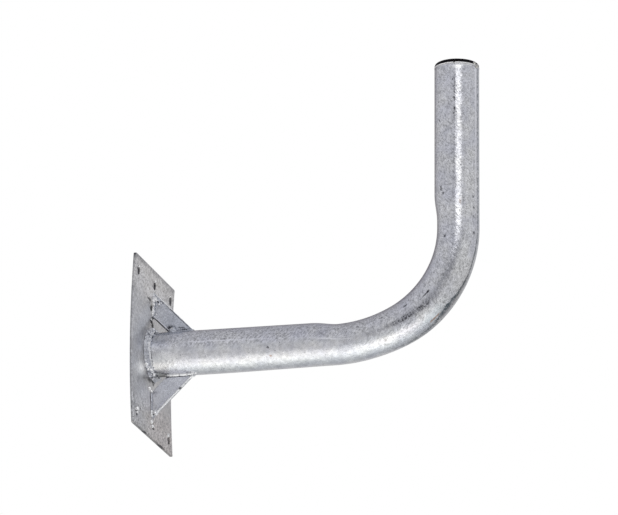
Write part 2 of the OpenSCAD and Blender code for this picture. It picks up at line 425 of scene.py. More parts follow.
def straighten(p):  # distance past the start of the bend, offset to the side, offset to the inside
    if p.x <= bendX + tiny:
        return Vector((p.x - bendX, p.y, p.z))
    if p.z >= bendTop - tiny:
        return Vector((bendLength + p.z - bendTop, p.y, reach - p.x))
    out = p - startCentre
    turn = math.atan2(out.x, -out.z)
    if turn <= startTurn + tiny:
        return Vector((turn * startRadius, p.y, startRadius - math.hypot(out.x, out.z)))
    out = p - mainCentre
    turn = math.atan2(out.x, -out.z)
    s = startLength + (turn - startTurn) * mainRadius
    return Vector((s, p.y, mainRadius - math.hypot(out.x, out.z)))


def bend(q):  # the reverse of straighten
    s, side, inside = q
    if s <= 0:
        return Vector((bendX + s, side, inside))
    if s >= bendLength:
        return Vector((reach - inside, side, bendTop + s - bendLength))
    centre, radius, turn = startCentre, startRadius, s / startRadius
    if s > startLength:
        centre, radius = mainCentre, mainRadius
        turn = startTurn + (s - startLength) / radius
    way = Vector((math.sin(turn), 0, -math.cos(turn)))
    return centre + way * (radius - inside) + Vector((0, side, 0))


def skinPoint(s, angle):  # a point of the straightened skin; angle 0 faces the inside of the bend
    t = tube
    r = t["radius"]
    start, runout, peak = -t["pressReachArm"], t["pressRunout"], t["heelPeak"]
    last = bendLength + t["pressReachMast"]
    press = t["pressDepth"] * (blend(s, start, start + runout) - blend(s, last - runout, last))
    heel = t["heelDepth"] * (blend(s, -t["heelRunin"], peak) - blend(s, peak, t["heelEnd"]))
    spread = 1 + t["flankSpread"] * (press + heel) / (2 * r)
    if abs(angle) > t["pressEdge"]:
        skin = r - heel * min(0, math.cos(angle)) ** 2
    else:  # the press leaves an arc that is flatter than the tube
        rise = r - press - r * math.cos(t["pressEdge"])
        half = r * math.sin(t["pressEdge"])
        dieRadius = (rise ** 2 + half ** 2) / (2 * rise)
        dieCentre = r - press - dieRadius
        across = dieCentre * math.sin(angle)
        skin = dieCentre * math.cos(angle) + math.sqrt(dieRadius ** 2 - across ** 2)
    return Vector((s, skin * math.sin(angle) * spread, skin * math.cos(angle)))


def gritAt(s, angle):  # the underside of the arm is smoother
    t = tube
    under = blend(abs(angle), *t["gritTurn"])
    onArm = t["gritArm"] + (t["gritUnderArm"] - t["gritArm"]) * under
    return onArm + (t["gritBend"] - onArm) * blend(s, 0, t["gritBlend"])


# bands along the skin: place in millimetres, angle from the inside of the bend, strength, half width
# the rub of the bending tool, with a painted dark reflection along the pressed flank
rubAndReflectionPath = (
    (-12, 91, 0.00, 3), (10, 94, 0.25, 3), (24, 96, 0.42, 3.5), (33, 97, 0.45, 4),
    (48, 98, 0.48, 4.5), (64, 99, 0.52, 5), (78, 101, 1.00, 6), (95, 103, 1.00, 6.5),
    (112, 109, 0.8, 8), (134, 114, 0.42, 10),
    (157, 112, 0.42, 9), (179, 107, 0.34, 7), (205, 102, 0.00, 5), (222, 96, 0.00, 2),
    (240, 96, 0.5, 1.4), (300, 96, 0.7, 1.6), (370, 97, 0.75, 1.8), (400, 96, 0.3, 1.6),
)
# a painted dark reflection in a line that runs close to the outer side of the bend and on up the mast
reflectionPath = (
    (50, 176, 0.00, 6), (80, 177, 0.45, 8), (104, 174, 0.5, 8), (114, 166, 0.6, 7),
    (122, 162, 0.8, 9), (133, 162, 0.8, 7.5), (143, 166, 0.8, 4.6), (155, 169, 0.62, 3.4),
    (165, 170, 0.55, 3.2), (190, 170, 0.62, 3.2), (205, 170, 0.58, 3.4), (235, 171, 0.44, 4.6),
    (300, 171, 0.45, 5), (420, 171, 0.42, 5),
)
# a thin pale line left by the mill along the arm
millPath = (
    (-185, 76, 0, 1.6), (-148, 76, 0.9, 1.6), (-90, 78, 0.7, 1.6), (-60, 80, 0.1, 1.6),
    (-20, 86, 0.3, 1.6), (-5, 89, 0.9, 1.6), (20, 96, 0.7, 1.6), (35, 99, 0, 1.6),
)
# the seam of the tube up the mast
seamPath = (
    (215, 157, 0.00, 3), (250, 158, 0.5, 3), (296, 159.6, 0.65, 3), (343, 160, 0.8, 3),
    (378, 159.2, 1.00, 3), (400, 159, 1.00, 3),
)


bandCore, bandFade = 0.4, 1.5  # in half widths: full strength up to the first, none past the second


def bandAt(path, q):
    s = q.x / mm
    if s < path[0][0]:
        return 0
    degrees = math.degrees(abs(math.atan2(q.y, q.z)))
    middle, strength, width = (along([(stop[0], stop[k]) for stop in path], s) for k in (1, 2, 3))
    return strength * (1 - blend(abs(degrees - middle), width * bandCore, width * bandFade))


def makeTube():
    t = tube
    bm = bmesh.new()
    ring = bmesh.ops.create_circle(bm, segments=t["sides"], radius=t["radius"])["verts"]
    bmesh.ops.rotate(bm, verts=ring, cent=(0, 0, 0), matrix=Matrix.Rotation(math.pi / 2, 3, "Y"))
    bmesh.ops.translate(bm, verts=ring, vec=(plateFront, 0, 0))
    armStep = Vector(((bendX - plateFront) / t["armSteps"], 0, 0))
    loop = extendLoop(bm, bm.edges[:], armStep, t["armSteps"])[0]
    turns = ((startCentre, startTurn, t["startSteps"]),
             (mainCentre, math.pi / 2 - startTurn, t["mainSteps"]))
    for centre, angle, steps in turns:
        ends = loop + list({v for e in loop for v in e.verts})
        made = bmesh.ops.spin(bm, geom=ends, cent=centre, axis=(0, -1, 0), angle=angle, steps=steps)
        loop = edgesOf(made["geom_last"])
    mastStep = Vector((0, 0, (tubeTop - bendTop) / t["mastSteps"]))
    extendLoop(bm, loop, mastStep, t["mastSteps"])
    tidyMesh(bm)
    outward = sum(f.normal.y * f.calc_center_median().y > 0 for f in bm.faces)
    if outward < len(bm.faces) / 2:
        bmesh.ops.reverse_faces(bm, faces=bm.faces)

    rubAndReflection = bm.verts.layers.float.new("rubAndReflection")
    reflectionAndSeam = bm.verts.layers.float.new("reflectionAndSeam")
    grit = bm.verts.layers.float.new("grit")
    straight = bm.verts.layers.float_vector.new("straight")
    for v in bm.verts:
        q = straighten(v.co)
        angle = math.atan2(q.y, q.z)
        q = skinPoint(q.x, angle)
        v[straight] = q
        v[rubAndReflection] = bandAt(rubAndReflectionPath, q)
        v[reflectionAndSeam] = bandAt(reflectionPath, q) - bandAt(millPath, q) - bandAt(seamPath, q)
        v[grit] = gritAt(q.x, angle)
        v.co = bend(q)

    piece = finishPiece("tube", bm, makeZinc("zinc on the tube", tubeZinc), ["bent_tube"])
    wall = piece.modifiers.new("wall", "SOLIDIFY")
    wall.thickness = t["wall"]
    wall.offset = -1
    wall.use_even_offset = True


def tubeMark(s, degrees, size, tint=dark, depth=0.75, **more):  # on the skin, s past the bend's start
    return mark(skinPoint(s * mm, math.radians(degrees)) / mm, size, tint, depth, **more)


def footMark(x, y, z, size, tint, depth, **more):  # at the tube's foot, x from the wall
    return mark((x - bendX / mm, y, z), size, tint, depth, **more)


# nicks, specks and rust, and one painted highlight below the top rim
tubeMarks = (
    (-70, -102.4, (1.3, 1.3, 1.3), dark, 0.85),
    (-67.5, -125, (1.6, 1.2, 1.2), rust, 0.5),
    (125.3, -92.8, (2.2, 1.2, 1.2), dark, 0.85),
    (121.2, -92.2, (6, 0.7, 0.7), dark, 0.8),
    (95.5, -76.8, (3, 1.2, 0.9)),
    (64, -70.4, (2.4, 1.2, 0.8), dark, 0.6),
    (10.7, -64.8, (1.2, 1.2, 1.2), dark, 0.6),
    (34.5, -71.6, (2.2, 1, 0.8), dark, 0.5),
    (375.6, -91.6, (1, 0.7, 0.7)),
    (367.3, -93.6, (1.1, 0.8, 0.8)),
    (360.3, -96.4, (1.2, 0.9, 0.9)),
    (354.4, -95.6, (1.1, 0.8, 0.8)),
    (341.6, -97.2, (1.4, 1.1, 1.1)),
    (335.8, -94.4, (1, 0.7, 0.7)),
    (337.4, -101.2, (1.2, 0.9, 0.9)),
    (329.8, -52.4, (1.1, 0.8, 0.8)),
    # painted highlight: the mast's highlight flaring under the rim
    (391.2, -102, (2.8, 10, 6), white, 0.8),
    (193.1, -72.4, (1.5, 1.5, 1.5), dark, 0.8),
    (200.7, -153, (1.8, 1.5, 1.5), dark, 0.7),
    (250.8, -57.6, (3.8, 1.2, 1), dark, 0.8),
    (244.3, -64.8, (1.6, 1.2, 1.2), dark, 0.7),
    (241, -149.2, (1.5, 1.4, 1.4), dark, 0.6),
    (228.5, -151.2, (1.7, 1.4, 1.4), dark, 0.6),
    (218.4, -150, (1.4, 1.4, 1.4), dark, 0.5),
    (233.8, -110.8, (3, 1.4, 1.4), (0.24, 0.17, 0.13, 1), 0.5),
)
tubeZinc = dict(
    attribute="straight",
    grit="grit",
    pale=(0.69, 0.69, 0.695, 1), dull=(0.585, 0.59, 0.63, 1),
    fleck=(0.1, 0.1, 0.12, 1),
    cloudSize=0.026,
    grainSize=0.0044, grainDepth=0.17,
    fineSize=0.0018, fineStretch=(0.9, 0.9, 1.9), fineTurn=(0, 0.75, 0), fineDepth=0.46,
    fleckFrom=0.63, fleckDepth=0.85,
    curlSize=0.0075, curlDepth=0.4,
    rough=0.13, roughSpread=0.04,
    swell=0.0006, bump=0.00025, fineBump=0.00006,
    rubAndReflection=dict(
        tint=(0.22, 0.22, 0.25, 1),
        patch=(0.012, 0.012, 0.02, 1),
        # colour of the painted dark reflection line by the heel
        reflectionAndSeam=(0.11, 0.135, 0.15, 1),
        paleLine=(0.92, 0.92, 0.95, 1), paleDepth=0.8,
        size=0.001,
        tickStretch=(1, 4, 4), tickSpan=(0.4, 0.56),
        spotSize=0.0024, spotSpan=(0.44, 0.52),
        patchSpan=(0.45, 0.85), patchTicks=(0.44, 0.58, 1, 0.45),
        reflectionRag=(0.35, 0.65, 0.55, -0.55),
        rough=0.2,
    ),
    marks=(
        *(tubeMark(*row) for row in tubeMarks),
        # painted highlight where the bend's highlight ends on the flank
        tubeMark(110, -143, (11, 6, 5), (0.86, 0.92, 0.95, 1), 0.45, edge=0.8),
        tubeMark(110.3, -155.5, (6.5, 1.2, 0.9), rust, 0.7),
        # painted highlight: a bright line round the top rim under the plug
        mark(((bendLength + tubeTop - bendTop) / mm, 0, 0), (2.4, 80, 80), white, edge=0.3),
        # painted shade on the top of the tube beside the plate
        footMark(3.2, -15, 20, (35, 30, 18), (0.5, 0.55, 0.66, 1), 0.35),
        # painted dark reflection of the plate under the tube by the root weld
        footMark(15, -6, -24, (8, 6, 3), (0.1, 0.14, 0.15, 1), 0.2, edge=0.8),
        footMark(14.5, 3.5, -24.8, (3.4, 5, 1.2), black, 1),
        footMark(21, 3, -25, (4, 5, 1.2), black, 1),
        # painted highlight carrying the arm's lower highlight up to the root weld
        footMark(3.2, -23, -12, (28, 20, 13), white, 0.85, edge=0.2),
    ),
)


# Wall plate

def cutHole(piece, y, z, radius):
    bm = bmesh.new()
    bmesh.ops.create_cone(bm, cap_ends=True, segments=plate["holeSides"], radius1=radius, radius2=radius,
                          depth=plate["drill"])
    bmesh.ops.rotate(bm, verts=bm.verts, cent=(0, 0, 0), matrix=Matrix.Rotation(math.pi / 2, 3, "Y"))
    bmesh.ops.translate(bm, verts=bm.verts, vec=(0, y, z))
    drill = newObject("drill", bm)
    cut = piece.modifiers.new("hole", "BOOLEAN")
    cut.object = drill
    cut.solver = "EXACT"
    bpy.context.view_layer.update()
    done = bpy.data.meshes.new_from_object(piece.evaluated_get(bpy.context.evaluated_depsgraph_get()))
    piece.modifiers.clear()
    piece.data = done
    bpy.data.objects.remove(drill)


def makePlate():
    p = plate
    size = plateHigh - plateLow
    bm = bmesh.new()
    shape = Matrix.Translation((plateFront / 2, 0, 0)) @ Matrix.Diagonal((*size, 1))
    bmesh.ops.create_cube(bm, size=1, matrix=shape)
    corners = [e for e in bm.edges if abs(e.verts[0].co.x - e.verts[1].co.x) > tiny]
    roundEdges(bm, corners, p["corner"], 4)
    for i in range(1, p["levels"]):
        level = plateLow.z + size.z * i / p["levels"]
        bmesh.ops.bisect_plane(bm, geom=bm.verts[:] + bm.edges[:] + bm.faces[:],
                               plane_co=(0, 0, level), plane_no=(0, 0, 1))
    blank = newObject("blank", bm)
    for z in (-p["holeZ"], p["holeZ"]):
        for y in holeColumns:
            cutHole(blank, y, z, p["holeRadius"])
    cutHole(blank, 0, 0, p["ventRadius"])
    bm = bmesh.new()
    bm.from_mesh(blank.data)
    bpy.data.objects.remove(blank)
    bmesh.ops.remove_doubles(bm, verts=bm.verts, dist=tiny)
    roundEdges(bm, sharpEdges(bm), p["edge"], 2)
    bmesh.ops.triangulate(bm, faces=[f for f in bm.faces if len(f.verts) > 4])
    shade = bm.verts.layers.float.new("shade")
    grit = bm.verts.layers.float.new("grit")
    for v in bm.verts:
        v[shade] = plateShadeAt(v.co)
        v[grit] = plateGritAt(v.co)
        v.co.x += bowAt(v.co.z)
    addBlobs(bm, plateBlobs, 2, 1, p["blobDepth"])
    material = makeZinc("zinc on the plate", plateZinc)
    keepSharp(finishPiece("wallPlate", bm, material, ["base_plate"]), 50)


def plateShadeAt(at):  # painted shade inside the holes and on the sheared edges, and darker towards the bottom
    p = plate
    for z, deep in ((p["holeZ"], p["shadeUpperHoles"]), (-p["holeZ"], p["shadeLowerHoles"])):
        for y in holeColumns:
            if math.hypot(at.y - y, at.z - z) < p["holeRadius"] + p["holeBand"]:
                return deep - p["shadeHoleFade"] * at.x / plateFront
    if at.z < plateLow.z + p["edgeBand"]:
        return p["shadeSheared"]
    if at.y < plateLow.y + p["edgeBand"]:
        if at.z > plateHigh.z - p["cornerBand"]:
            return p["shadeNearCorner"]
        return p["shadeSheared"] if at.x < p["backBand"] else p["shadeSide"]
    if at.z > plateHigh.z - p["topBand"]:
        return p["shadeSheared"]
    return p["shadeLow"] * blend(-at.z, 0, p["lowBand"])


def plateGritAt(at):  # the zinc is coarser on the front at the top and the bottom
    p = plate
    if at.x <= plateFront / 2:
        return p["grit"]
    high, low = (blend(z, p["gritFrom"], p["gritTo"]) for z in (at.z, -at.z))
    return p["grit"] + p["gritTop"] * high + p["gritBottom"] * low


# lumps of zinc at the holes and by the lower weld, painted white: fresh zinc and a painted highlight
plateBlobs = (
    (5.6, -65.5, 85.4, 1.3), (5.6, 0.6, 85.6, 1.2), (5.6, 62, 85, 1),
    (5.3, -64, -77.6, 2.4), (5.6, -65, -82.2, 1.5), (5.3, -7, -78.6, 2.4), (5.6, -4, -82.8, 2),
    (5, 61.5, -76.8, 2.4), (4, -12.2, -41.3, 2.2), (4.2, -3.6, -42.4, 1.9),
)
plateZinc = dict(
    paintedShadeDepth=1,
    grit="grit",
    marks=(
        mark((5.2, -18, 60.5), (3, 8, 1.3), grey(0.03), 0.9),
        # painted shade in the gap under the tube, beside the root weld
        mark((3.5, 3, -30), (3, 6, 2.2), grey(0.03), 0.9, edge=0.8),
        mark((3.5, 5, -33), (3, 2.5, 1.2), grey(0.03), 0.9),
        mark((3.5, -10, -32), (3, 6, 2.5), grey(0.06), 0.5),
        mark((4.5, -34, -97.5), (4, 6, 1.2)),
        mark((4.5, 32, -97.5), (4, 11, 1.2)),
        # painted shade in the corner at the lower bar's inner end
        mark((3.2, -2.1, -44.7), (3, 4, 1), grey(0.04), 0.9),
        mark((4.8, -9.5, 51.7), (2.8, 5, 2.8), black, 1),
        mark((4.4, -6, 37.2), (2.8, 5.5, 2), black, 1),
        mark((4.4, -1.5, 34), (2.8, 4.5, 3.4), black, 1),
        mark((4, -7.8, -52), (3, 1.6, 5.5), edge=0.3),
        mark((4.5, -6.2, -60.5), (3, 1.6, 5.5), edge=0.3),
    ),
    tones=(
        mark((3.5, -78, -15), (20, 50, 90), (0.89, 0.91, 0.95, 1), 1),
        mark((3.5, 50, -85), (20, 70, 30), (1.02, 0.975, 0.955, 1), 1),
        mark((3.5, -63, -26.5), (5, 28, 8.5), (1.22, 1.23, 1.24, 1), 1),
        mark((3.5, -20, 90), (20, 90, 30), (1.18, 1.17, 1.16, 1), 1),
    ),
    pale=(0.78, 0.765, 0.745, 1), dull=(0.62, 0.61, 0.6, 1),
    fleck=(0.16, 0.15, 0.15, 1),
    cloudSize=0.02,
    grainSize=0.004, grainDepth=0.16,
    fineSize=0.0018, fineStretch=(1, 1, 1.7), fineDepth=0.42,
    fleckFrom=0.62, fleckDepth=0.8,
    curlSize=0.008, curlDepth=0.3,
    rough=0.36, roughSpread=0.05,
    swell=0.0005, bump=0.00018, fineBump=0.00009,
)


# Gussets: flat bars between the plate and the tube

gusset = dict(
    leg=gussetHigh.x - plateFront,
    thickness=0.006, width=0.021, edge=0.0007,
    seat=0.0009,  # how far the bar reaches into the plate and the tube
    flatArea=2e-5,
    inset=0.0003,  # keeps the flats flat beside the rounding
    # zinc that ran down along the sloping edge: from, to, radius; side 1 is above the tube
    runs={1: (0.008, 0.024, 0.0007), -1: (0.007, 0.047, 0.0014)},
    runSides=12, runStep=0.0005,
    runSunk=0.4,  # in radii
    swellSize=0.0032, swellHeight=0.45,
    lumpSize=0.0014, lumpHeight=0.25,
    # colours for each bar; the upper bar's are darker, a painted shade
    pale={1: (0.59, 0.61, 0.66, 1), -1: (0.68, 0.69, 0.73, 1)},
    dull={1: (0.48, 0.5, 0.55, 1), -1: (0.59, 0.6, 0.645, 1)},
    marks={
        1: (mark((40.5, -3, 27.2), (6, 2, 0.9)),
            mark((38, -3, 29.3), (3.6, 2, 0.7), dark, 0.75),
            # painted shade: a dark crescent round the lump of weld
            mark((25.4, -3, 27.3), (5.6, 2, 5), dark, 0.95, edge=0.15),
            # painted shade in the corner at the bar's inner end
            mark((5.2, -3, 40.8), (1.4, 3, 1.8), dark, 1),
            mark((10.4, -3, 59.7), (0.8, 2, 0.9)),
            mark((13.2, -3, 61.2), (0.8, 2, 0.7)),
            mark((15.9, -3, 59), (0.8, 2, 0.9)),
            # painted shade along the inner sloping edge
            mark((13.2, -3, 34.6), (13.5, 2, 1.1), dark, 1, edge=0.25, turn=-math.pi / 4),
            mark((14.2, -3, 36.2), (12, 2, 0.4), (0.9, 0.9, 0.95, 1), turn=-math.pi / 4),
            mark((34.5, -3, 41.2), (19, 2, 0.6), (0.08, 0.08, 0.09, 1), 0.7, turn=-math.pi / 4),
            # painted highlight along the outer sloping edge
            mark((15, -3, 62), (12, 2, 0.5), grey(0.95), 0.7, turn=-math.pi / 4)),
        -1: (mark((37.6, -3, -40.8), (2.2, 3, 1.3), dark, 0.95),
             mark((43.2, -3, -36.2), (0.8, 3, 0.8)),
             mark((32, -3, -27.2), (18, 2, 0.5), edge=0.3),
             mark((19, -3, -27.3), (6, 2, 1), edge=0.8)),
    },
)


gussetInner = gusset["leg"] - gusset["width"] * math.sqrt(2)


def makeGusset(name, node, side):
    g = gusset
    back = plateFront - g["seat"]
    foot = tubeRadius - g["seat"]
    low, high = tubeRadius + gussetInner, tubeRadius + g["leg"]
    near, far = plateFront + gussetInner, plateFront + g["leg"]
    profile = ((back, low), (back, high), (plateFront, high), (far, tubeRadius),
               (far, foot), (near, foot), (near, tubeRadius), (plateFront, low))
    bm = bmesh.new()
    corners = [bm.verts.new((x, -g["thickness"] / 2, z * side)) for x, z in profile]
    face = bm.faces.new(corners)
    made = bmesh.ops.extrude_face_region(bm, geom=[face])["geom"]
    bmesh.ops.translate(bm, verts=vertsOf(made), vec=(0, g["thickness"], 0))
    tidyMesh(bm)
    roundEdges(bm, sharpEdges(bm), g["edge"], 3)
    flats = [f for f in bm.faces if f.calc_area() > g["flatArea"]]
    bmesh.ops.inset_individual(bm, faces=flats, thickness=g["inset"])
    bm.verts.layers.float.new("shade")
    addRun(bm, side)
    look = dict(barZinc, marks=g["marks"][side], pale=g["pale"][side], dull=g["dull"][side])
    keepSharp(finishPiece(name, bm, makeZinc("zinc on " + name, look), [node]), 50)


def addRun(bm, side):  # the thick run of zinc along the sloping edge, painted white: fresh zinc and a painted highlight
    g = gusset
    shade = bm.verts.layers.float["shade"]
    a, b, radius = g["runs"][side]
    start = Vector((plateFront + a, -g["thickness"] / 2 + radius * g["runSunk"],
                    side * (tubeRadius + g["leg"] - a)))
    way = Vector((1, 0, -side)).normalized()
    length = (b - a) * math.sqrt(2)
    shape = Matrix.Translation(start) @ way.to_track_quat("Z", "Y").to_matrix().to_4x4()
    ring = bmesh.ops.create_circle(bm, segments=g["runSides"], radius=radius, matrix=shape)["verts"]
    rim = [e for e in bm.edges if e.verts[0] in ring and e.verts[1] in ring]
    for v in sweep(bm, ring, rim, way, length, round(length / g["runStep"])):
        middle = start + way * (v.co - start).dot(way)
        swell = 1 + g["swellHeight"] * lumps(middle, g["swellSize"], 3 + side)
        swell += g["lumpHeight"] * lumps(v.co, g["lumpSize"], 8)
        v.co = middle + (v.co - middle) * swell
        v[shade] = -1.0


barZinc = dict(
    paintedShadeDepth=1,
    fleck=(0.2, 0.2, 0.22, 1),
    cloudSize=0.018,
    grainSize=0.0038, grainDepth=0.08,
    fineSize=0.0013, fineDepth=0.26,
    fleckFrom=0.66, fleckDepth=0.4,
    curlSize=0.008, curlDepth=0.12,
    rough=0.24, roughSpread=0.04,
    swell=0.0005, bump=0.00009, fineBump=0.00003,
)


# Welds: a fillet section swept along its corner, then swelled into ripples and lumps

weldZinc = dict(
    paintedShadeDepth=0.85,
    pale=(0.92, 0.92, 0.93, 1), dull=(0.66, 0.66, 0.68, 1),
    fleck=(0.06, 0.06, 0.07, 1),
    cloudSize=0.006,
    grainSize=0.0026, grainDepth=0.2,
    fineSize=0.0011, fineDepth=0.4,
    fleckFrom=0.6, fleckDepth=0.8,
    curlSize=0.005, curlDepth=0.3,
    rough=0.16, roughSpread=0.05,
    swell=0.0003, bump=0.00034, fineBump=0.00008,
)
weld = dict(
    legTube=0.006, legPlate=0.005, legSide=0.0102,
    ringSteps=400, faceSteps=12,
    ripple=0.004, rippleHeight=0.1,
    lumpSize=0.005, lumpHeight=0.34,
    grit=0.0004, gritSize=0.0018,
    crown=0.92,  # of the face, against a round one
    buried=0.12,  # depth of the section behind its corner, in legs
    dipFrom=0.93, dipSlope=5,
    # how far a bead starts before its bar, how much longer it is, and its make
    before=0.0015, longer=0.0025,
    beadSteps=8, beadStep=0.0006,
    darkToe=(0.55, 0.9),
    leastEnd=0.02,
)


def filletSection(bm, corner, toA, toB, steps):
    # open line from one toe over the crowned face to the other, and back through the buried corner
    points = [corner + toA]
    for i in range(1, steps):
        angle = math.pi / 2 * i / steps
        points.append(corner + (toA * math.cos(angle) + toB * math.sin(angle)) * weld["crown"])
    points.append(corner + toB)
    points.append(corner - (toA + toB) * weld["buried"])
    verts = [bm.verts.new(p) for p in points]
    return verts, [bm.edges.new((a, b)) for a, b in zip(verts, verts[1:] + verts[:1])]


def hollowShadeOf(swell):  # painted shade in a hollow between lumps
    return min(1, max(0, (weld["dipFrom"] - swell) * weld["dipSlope"]))


def hump(x, middle, width):
    return math.exp(-((x - middle) / width) ** 2)


root = dict(
    # smooth on the flanks, lumpy above and below, where the welder stopped and started
    calm=0.25, calmSpan=(0.25, 0.62), calmShift=0.08,
    wander=2.5,  # how the ripples stray, and how they lean below the tube
    wanderSize=0.02,
    lean=260, leanTo=0.6,
    # across the face, from the plate at 0 to the tube at 1: a strand, and a hollow beside it
    strand=0.18, strandPlace=(0.78, 0.13),
    strandTwist=9, strandWave=0.35,
    hollow=0.06, hollowPlace=(0.45, 0.2),
    toeTube=(0.9, 0.97), toePlate=(-0.1, -0.03), toePlateDepth=0.6,
    # how far the strand is painted white: fresh zinc and a painted highlight on its ridge
    ridgeHighlightSpan=(0.05, 0.12),
    blobs=(
        (6, -17, 24.5, 2.6), (5.5, -23, 20.5, 2.2), (8, -13, 26, 2), (9, -19.5, 18.5, 1.6),
        (5, -27.5, 14.5, 1.9), (9, -12, -25.5, 2.2), (6.5, -8, -29, 2.4), (8.5, -17, -21, 1.8),
    ),
    # streaks between the strands, the white ones painted highlights and the dark ones painted shade:
    # places, size, tint, depth
    streaks=(
        (((6.1, -22.5, -22), (6.5, -19, -24.4), (6.8, -15, -26.8), (7.1, -11.5, -28.6)),
         (1, 2.4, 1), dark, 0.95),
        (((7.3, -23, -20.6), (8, -20, -22.2), (8.8, -16.8, -24), (9.6, -13.4, -26.4)),
         (1.3, 2.4, 1.2), white, 1),
        (((3.6, -28, -17.2), (4.3, -25.3, -19.3), (5, -22, -21.8)), (1.2, 2, 1.2), white, 0.9),
        (((8.2, -29.9, 5.5), (8.4, -30, 0), (8.8, -29.2, -5), (9, -27.8, -9.6)),
         (0.9, 2, 2.6), white, 0.7),
        (((9.9, -26.4, 3), (9.9, -26.4, -3.5), (9.9, -25.6, -8.5)), (0.7, 2, 2.8), dark, 0.7),
    ),
    look=dict(pale=(0.66, 0.67, 0.71, 1), dull=(0.42, 0.43, 0.47, 1), grainDepth=0.28, bump=0.0005),
)


def makeRootWeld():
    w, r = weld, root
    bm = bmesh.new()
    corner = Vector((plateFront, 0, tubeRadius))
    toTube, toPlate = Vector((w["legTube"], 0, 0)), Vector((0, 0, w["legPlate"]))
    verts, edges = filletSection(bm, corner, toTube, toPlate, w["faceSteps"])
    spinRound(bm, verts + edges, (0, 0, 0), (1, 0, 0), w["ringSteps"])
    tidyMesh(bm)
    shade = bm.verts.layers.float.new("shade")
    ripples = round(math.tau * tubeRadius / w["ripple"])
    for v in bm.verts:
        angle = math.atan2(v.co.y, v.co.z)
        out = math.hypot(v.co.y, v.co.z) - tubeRadius
        height = v.co.x - plateFront
        spread = w["legPlate"] + (w["legSide"] - w["legPlate"]) * math.sin(angle) ** 2
        wild = r["calm"] + (1 - r["calm"]) * blend(abs(math.cos(angle) + r["calmShift"]), *r["calmSpan"])
        lean = r["lean"] * (height - out) * blend(-math.cos(angle), 0, r["leanTo"])
        phase = ripples * angle + r["wander"] * lumps(v.co, r["wanderSize"], 3) + lean
        lump = w["lumpHeight"] * lumps(v.co, w["lumpSize"], 1)
        swell = 1 + wild * (w["rippleHeight"] * math.cos(phase) + lump)
        if out > -tiny and height > -tiny:
            share = height / (height + out + 1e-9)
            wave = 1 - r["strandWave"] + r["strandWave"] * math.cos(2 * phase + r["strandTwist"] * share)
            ridge = r["strand"] * wave * hump(share, *r["strandPlace"])
            ridge -= r["hollow"] * hump(share, *r["hollowPlace"])
            out *= spread / w["legPlate"] * (swell + ridge)
            height *= swell + ridge
            toe = max(blend(share, *r["toeTube"]), r["toePlateDepth"] * blend(-share, *r["toePlate"]))
            v[shade] = max(hollowShadeOf(swell + ridge * 0.5), toe) - blend(ridge, *r["ridgeHighlightSpan"]) * (1 - toe)
        grit = w["grit"] * wild * lumps(v.co, w["gritSize"], 5)
        radius = tubeRadius + out + grit
        v.co = Vector((plateFront + height + grit, radius * math.sin(angle), radius * math.cos(angle)))
        v.co.x += bowAt(v.co.z)
    addBlobs(bm, r["blobs"], 6, 0.3)
    marks = [mark(place, size, tint, depth, edge=0.3)
             for places, size, tint, depth in r["streaks"] for place in places]
    look = dict(weldZinc, marks=marks, **r["look"])
    finishPiece("rootWeld", bm, makeZinc("zinc on the root weld", look), ["weld_tube_root"])


def makeBead(bm, start, way, length, toA, toB, legs, seed, wildness, darkToe):
    # one bead from start along way; legs gives its size at shares of its length
    # darkToe draws a dark line at the toe A and paints the rest white: fresh zinc and a painted
    # highlight along the bead
    w = weld
    shade = bm.verts.layers.float["shade"]
    verts, edges = filletSection(bm, start, toA, toB, w["beadSteps"])
    made = sweep(bm, verts, edges, way, length, round(length / w["beadStep"]))
    for v in made:
        share = (v.co - start).dot(way) / length
        foot = start + way * share * length
        phase = math.tau * share * length / w["ripple"] + seed
        swell = 1 + wildness * w["rippleHeight"] * math.cos(phase)
        swell += wildness * w["lumpHeight"] * lumps(v.co, w["lumpSize"], seed)
        v[shade] = hollowShadeOf(swell)
        if darkToe:
            off = v.co - foot
            over = off.dot(toA) / toA.length_squared - off.dot(toB) / toB.length_squared
            v[shade] = 2 * blend(over, *w["darkToe"]) - 1
        ends = math.sqrt(max(w["leastEnd"], 1 - abs(2 * share - 1) ** 5))
        v.co = foot + (v.co - foot) * along(legs, share) * swell * ends
        v.co += Vector((1, 1, 1)) * w["grit"] * wildness * lumps(v.co, w["gritSize"], seed + 5)


farLegs = ((0, 1), (0.3, 1.2), (0.6, 0.9), (1, 1.1))
